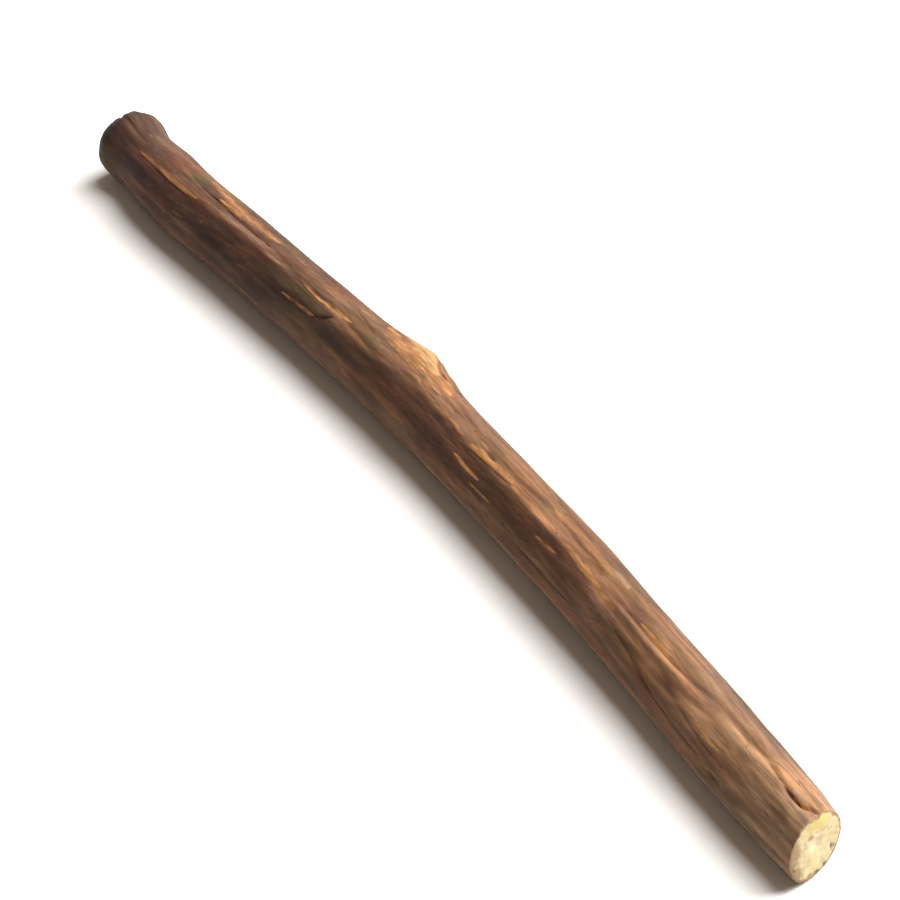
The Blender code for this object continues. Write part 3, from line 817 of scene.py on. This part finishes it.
barkLook = {
    "alongTheStem": (        # knob to sawn end
        (0.0, (0.0605, 0.0285, 0.0229)),
        (0.04, (0.0735, 0.033, 0.0239)),
        (0.12, (0.0745, 0.0325, 0.0182)),
        (0.3, (0.079, 0.04, 0.0235)),
        (0.45, (0.125, 0.0611, 0.0309)),
        (0.65, (0.142, 0.0665, 0.0315)),
        (0.85, (0.183, 0.093, 0.045)),
        (0.93, (0.205, 0.115, 0.062)),
        (1.0, (0.285, 0.176, 0.097)),
    ),
    "alongNoise": (0.35, 5.0, 2.0, 3.0),     # per mm, stretch along the grain, detail, seed
    "alongWander": (0.2, 0.8, -0.08, 0.08),
    "tints": (               # colour, patches per mm, stretch, strength
        ((0.112, 0.0379, 0.0209), 0.38, 3.0, 0.55),
        ((0.112, 0.0705, 0.0279), 0.34, 3.0, 0.5),
        ((0.146, 0.0863, 0.0638), 0.45, 2.6, 0.38),
        ((0.202, 0.0926, 0.0379), 0.5, 5.0, 0.5),
    ),
    "tintEdge": (0.5, 0.66),
    "tintSeeds": (11.0, 7.0),     # the first seed and the step to the next
    "shades": (              # patches per mm, stretch, darkest, lightest
        (0.5, 6.5, 0.62, 1.36),
        (0.95, 7.0, 0.68, 1.32),
        (1.3, 9.0, 0.76, 1.26),
        (3.6, 5.0, 0.91, 1.09),
    ),
    "shadeSeeds": (50.0, 9.0),
    "cracks": ((0.8, 9.0, 0.014, 0.5), (1.7, 9.0, 0.016, 0.2)),     # per mm, stretch, width, strength
    "crackSeeds": (80.0, 5.0),
    "crackPatches": (0.42, 0.58),
    "weathered": (0.44, 0.4, 0.43),    # painted shade: times the bark's colour in the darkened bands and on the dark side
    "crest": 1.6,            # times the bark's colour on the crest and on the top near the sawn end: partly rubbed bark, partly painted light
    "knob": (0.58, 0.6, 0.68),
    "knobRange": (0.085, 0.02),     # shares of the length
    "knobRim": (0.4, 0.52, 0.56),
    "knobRimRange": (0.018, -0.01),
    "inner": (0.24, 0.098, 0.032),     # orange inner bark
    "innerPale": (0.36, 0.175, 0.066),
    "innerPatches": (0.35, 0.62),
    "innerShade": (0.6, 1.3),
    "bare": (0.347, 0.209, 0.0933),
    "rubbedAndEndLight": (0.224, 0.138, 0.0827),
    "rubbedShade": (0.7, 1.3),
    "fissure": (0.02, 0.01, 0.007),
    "stainAndShadow": (0.4, 0.26, 0.2),         # times the bark's colour in the dark marks: stains and fissures, and painted shadow below flaked bark, in the knot's pit and in the crack
    "green": (0.0784, 0.0627, 0.0276),
    "red": (0.084, 0.022, 0.0159),
    "lenticel": (0.224, 0.143, 0.0827),
    # painted shade in the hollows between the wrinkles
    "furrow": (0.036, 0.017, 0.011),
    "torn": (0.75, 1.25, -0.17, 0.17),     # how the grain tears the edges of the marks
    "edges": {               # where each mark begins and where it is full, and how strong it then is
        "furrow": (0.5, 1.0, 0.6),
        "lenticel": (0.3, 0.8, 0.4),
        "paleBark": (0.2, 0.9, 0.75),
        "wornBark": (0.2, 1.0, 1.0),
        "bareWood": (0.2, 1.0, 0.85),
        "darkBark": (0.2, 0.9, 1.0),
    },
    "greenStrength": 0.8,
    "redStrength": 0.7,
    "roughness": (0.62, 0.85),
    "specular": 0.14,
    "sheen": (0.1, 0.4),     # weight, roughness
    "bumps": ((-0.00008, 0.8), (0.00012, 0.6), (0.00005, 0.7)),     # cracks, streaks, fibres
}


def barkMaterial():
    m = NodeMaker("silvervine bark")
    coords = m.attribute("grainPlace", "Vector")
    separate = m.add("ShaderNodeSeparateXYZ")
    m.join(coords, separate.inputs[0])
    along = m.math("DIVIDE", separate.outputs["X"], stemForm["length"])
    wander = m.noise(coords, *barkLook["alongNoise"])
    along = m.math("ADD", along, m.range(wander, *barkLook["alongWander"]))
    colour = m.ramp(along, barkLook["alongTheStem"])

    seed, step = barkLook["tintSeeds"]
    for i, (tint, perMm, stretch, strength) in enumerate(barkLook["tints"]):
        patches = m.noise(coords, perMm, stretch, 4.0, seed + step * i)
        colour = m.mix(m.range(patches, *barkLook["tintEdge"], 0.0, strength), colour, tint)
    shades = []
    seed, step = barkLook["shadeSeeds"]
    for i, (perMm, stretch, darkest, lightest) in enumerate(barkLook["shades"]):
        shade = m.noise(coords, perMm, stretch, 3.0, seed + step * i)
        shades.append(shade)
        colour = m.scale(colour, m.range(shade, *middleNoise, darkest, lightest))
    patches, streaks, fibres = shades[0], shades[2], shades[3]
    # Painted shade in the darkened bands and on the dark side, then painted light on the crest and on the
    # top near the sawn end.
    colour = m.mix(m.attribute("weathered"), colour, barkLook["weathered"], "MULTIPLY")
    colour = m.mix(m.attribute("crest"), colour, m.scale(colour, barkLook["crest"]))
    for part in ("knob", "knobRim"):
        colour = m.mix(m.range(along, *barkLook[part + "Range"]), colour, barkLook[part], "MULTIPLY")

    cracks = []
    seed, step = barkLook["crackSeeds"]
    for i, (perMm, stretch, width, strength) in enumerate(barkLook["cracks"]):
        level = m.noise(coords, perMm, stretch, 2.0, seed + step * i)
        line = m.math("ABSOLUTE", m.math("SUBTRACT", level, 0.5), 0.0)
        shown = m.range(patches, *barkLook["crackPatches"])
        crack = m.math("MULTIPLY", m.range(line, 0.0, width, strength, 0.0), shown)
        colour = m.mix(crack, colour, barkLook["fissure"])
        cracks.append(crack)

    torn = m.range(m.math("ADD", streaks, fibres), *barkLook["torn"])

    def mark(name, edge=None):  # how much of a mark shows, with its edges torn by the grain
        low, high, strength = barkLook["edges"][name]
        value = m.attribute(name)
        if edge is not None:
            value = m.math("ADD", value, edge)
        return m.range(value, low, high, 0.0, strength)

    # Painted shade in the hollows between the wrinkles.
    colour = m.mix(mark("furrow"), colour, barkLook["furrow"])
    for tint in ("green", "red"):
        amount = m.math("MULTIPLY", m.attribute(tint + "Bark"), barkLook[tint + "Strength"])
        colour = m.mix(amount, colour, barkLook[tint])
    colour = m.mix(mark("lenticel"), colour, barkLook["lenticel"])
    rubbedAndEndLight = m.scale(m.plain(barkLook["rubbedAndEndLight"]), m.range(fibres, *middleNoise, *barkLook["rubbedShade"]))
    colour = m.mix(mark("paleBark", torn), colour, rubbedAndEndLight)
    inner = m.mix(m.range(streaks, *barkLook["innerPatches"]), barkLook["inner"], barkLook["innerPale"])
    inner = m.scale(inner, m.range(fibres, *middleNoise, *barkLook["innerShade"]))
    colour = m.mix(mark("wornBark", torn), colour, inner)
    colour = m.mix(mark("bareWood", torn), colour, barkLook["bare"])
    # Stains and fissures, partly painted shadow below flaked bark, in the knot's pit and in the crack.
    colour = m.mix(mark("darkBark", torn), colour, barkLook["stainAndShadow"], "MULTIPLY")
    m.join(colour, m.shader.inputs["Base Color"])

    m.join(m.range(streaks, *middleNoise, *barkLook["roughness"]), m.shader.inputs["Roughness"])
    m.shader.inputs["Specular IOR Level"].default_value = barkLook["specular"]
    sheen, sheenRoughness = barkLook["sheen"]
    m.shader.inputs["Sheen Weight"].default_value = sheen
    m.shader.inputs["Sheen Roughness"].default_value = sheenRoughness
    normal = None
    heights = (m.math("MAXIMUM", *cracks), streaks, fibres)
    for height, (distance, strength) in zip(heights, barkLook["bumps"]):
        normal = m.bump(height, distance, strength, normal)
    m.join(normal, m.shader.inputs["Normal"])
    return m.material


woodLook = {
    "cream": (0.4, 0.325, 0.18),
    "pale": (0.47, 0.4, 0.245),
    "yellow": (0.45, 0.35, 0.12),
    # tan wood, and painted shade on the face's left and bottom edge
    "tan": (0.2, 0.13, 0.068),
    "brown": (0.105, 0.056, 0.027),
    "pith": (0.47, 0.4, 0.27),
    "barkEdge": (0.15, 0.09, 0.048),
    "patchEdge": (0.42, 0.6),
    "tanPatches": (0.52, 0.7, 0.0, 0.4),
    "yellowGrain": (0.55, 0.75, 0.0, 0.35),
    "pithRange": (0.26, 0.16, 0.0, 0.6),     # shares of the radius
    "spotTear": 0.2,
    "spotEdge": (0.25, 0.85, 0.0, 0.9),
    "barkEdgeRange": (0.9, 0.965, 0.0, 0.85),
    "barkEdgeWander": (-0.05, 0.03),
    "roughness": (0.65, 0.85),
    "specular": 0.2,
}


def woodMaterial():
    m = NodeMaker("sawn wood")
    coords = m.attribute("grainPlace", "Vector")
    share = m.attribute("share")
    patches = m.noise(coords, 0.7, 1.0, 4.0, 5.0)
    grain = m.noise(coords, 5.0, 1.0, 3.0, 9.0)
    colour = m.mix(m.range(patches, *woodLook["patchEdge"]), woodLook["cream"], woodLook["pale"])
    mottle = m.noise(coords, 1.1, 1.0, 4.0, 15.0)
    colour = m.mix(m.range(mottle, *woodLook["tanPatches"]), colour, woodLook["tan"])
    colour = m.mix(m.range(grain, *woodLook["yellowGrain"]), colour, woodLook["yellow"])
    colour = m.mix(m.range(share, *woodLook["pithRange"]), colour, woodLook["pith"])
    torn = m.range(grain, *middleNoise, -woodLook["spotTear"], woodLook["spotTear"])
    for kind in ("yellow", "tan", "brown"):
        spot = m.math("ADD", m.attribute("face" + kind.title()), torn)
        colour = m.mix(m.range(spot, *woodLook["spotEdge"]), colour, woodLook[kind])
    outwards = m.math("ADD", share, m.range(mottle, *middleNoise, *woodLook["barkEdgeWander"]))
    colour = m.mix(m.range(outwards, *woodLook["barkEdgeRange"]), colour, woodLook["barkEdge"])
    m.join(colour, m.shader.inputs["Base Color"])
    m.join(m.range(patches, *middleNoise, *woodLook["roughness"]), m.shader.inputs["Roughness"])
    m.shader.inputs["Specular IOR Level"].default_value = woodLook["specular"]
    m.join(m.bump(grain, 0.00005, 0.6), m.shader.inputs["Normal"])
    return m.material


oldWoodLook = {
    "grey": (0.075, 0.055, 0.038),
    "dark": (0.022, 0.017, 0.012),
    "patchEdge": (0.35, 0.65),
    "roughness": 0.85,
}


def oldWoodMaterial():
    m = NodeMaker("weathered end")
    coords = m.attribute("grainPlace", "Vector")
    patches = m.noise(coords, 1.2, 1.0, 4.0, 5.0)
    colour = m.mix(m.range(patches, *oldWoodLook["patchEdge"]), oldWoodLook["dark"], oldWoodLook["grey"])
    m.join(colour, m.shader.inputs["Base Color"])
    m.shader.inputs["Roughness"].default_value = oldWoodLook["roughness"]
    m.join(m.bump(patches, 0.0001, 0.7), m.shader.inputs["Normal"])
    return m.material


# Floor, light and camera

studio = {
    "floorSize": 4.0,
    "floorColour": (0.85, 0.845, 0.845),
    "floorRoughness": 0.9,
    "floorSpecular": 0.1,
    "keyFrom": (0.24, 0.69, 0.68),      # direction from the stick to the light
    "keyDistance": 1.0,
    "keySize": (0.7, 1.75),              # wide and tall, so that the shadow is short and soft
    "keyPower": 41.0,
    "keyColour": (1.0, 0.985, 0.97),
    "skyColour": (1.0, 0.8, 0.62),
    "skyStrength": 0.235,
}


def buildFloor():
    bm = bmesh.new()
    bmesh.ops.create_grid(bm, x_segments=1, y_segments=1, size=studio["floorSize"] / 2)
    mesh = bpy.data.meshes.new("floor")
    bm.to_mesh(mesh)
    bm.free()
    m = NodeMaker("pale floor")
    m.shader.inputs["Base Color"].default_value = (*studio["floorColour"], 1.0)
    m.shader.inputs["Roughness"].default_value = studio["floorRoughness"]
    m.shader.inputs["Specular IOR Level"].default_value = studio["floorSpecular"]
    mesh.materials.append(m.material)
    floor = bpy.data.objects.new("floor", mesh)
    bpy.context.scene.collection.objects.link(floor)


def addKeyLight():
    light = bpy.data.lights.new("key", "AREA")
    light.shape = "ELLIPSE"
    light.size, light.size_y = studio["keySize"]
    light.energy = studio["keyPower"]
    light.color = studio["keyColour"]
    lamp = bpy.data.objects.new("key", light)
    aim = Vector(studio["keyFrom"]).normalized()
    lamp.location = aim * studio["keyDistance"]
    lamp.rotation_mode = "QUATERNION"
    lamp.rotation_quaternion = aim.to_track_quat("Z", "Y")
    bpy.context.scene.collection.objects.link(lamp)


def lightScene():
    addKeyLight()
    world = bpy.data.worlds.new("soft sky")
    world.use_nodes = True
    background = world.node_tree.nodes["Background"]
    background.inputs["Color"].default_value = (*studio["skyColour"], 1.0)
    background.inputs["Strength"].default_value = studio["skyStrength"]
    bpy.context.scene.world = world
    bpy.context.scene.view_settings.view_transform = "Standard"


cameraView = {
    "place": (0.270167, -0.140609, 0.290422),
    "photoForward": (-0.60019528, 0.4760144, -0.64278761),   # how the photograph's camera looks
    "photoRight": (0.62139267, 0.7834993, 0.0),
    "aim": (0.0, 0.0, 0.004),
    "lens": 165.0,
    "sensor": 36.0,
}


def setCamera():  # the photograph's viewpoint, turned to the stick by the shortest way
    camera = bpy.data.cameras.new("camera")
    camera.lens = cameraView["lens"]
    camera.sensor_width = cameraView["sensor"]
    place = Vector(cameraView["place"])
    forward = Vector(cameraView["photoForward"]).normalized()
    right = Vector(cameraView["photoRight"]).normalized()
    turned = forward.rotation_difference((Vector(cameraView["aim"]) - place).normalized())
    forward.rotate(turned)
    right.rotate(turned)
    up = right.cross(forward)
    eye = bpy.data.objects.new("camera", camera)
    eye.matrix_world = Matrix.Translation(place) @ Matrix((right, up, -forward)).transposed().to_4x4()
    bpy.context.scene.collection.objects.link(eye)
    bpy.context.scene.camera = eye


setCamera()
buildFloor()
lightScene()
print("camera, floor and light in place")

stick = buildStick()
for material in (barkMaterial(), woodMaterial(), oldWoodMaterial()):
    stick.data.materials.append(material)
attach(stick, "root")
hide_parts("stick")
print("stick built:", len(stick.data.polygons), "faces")
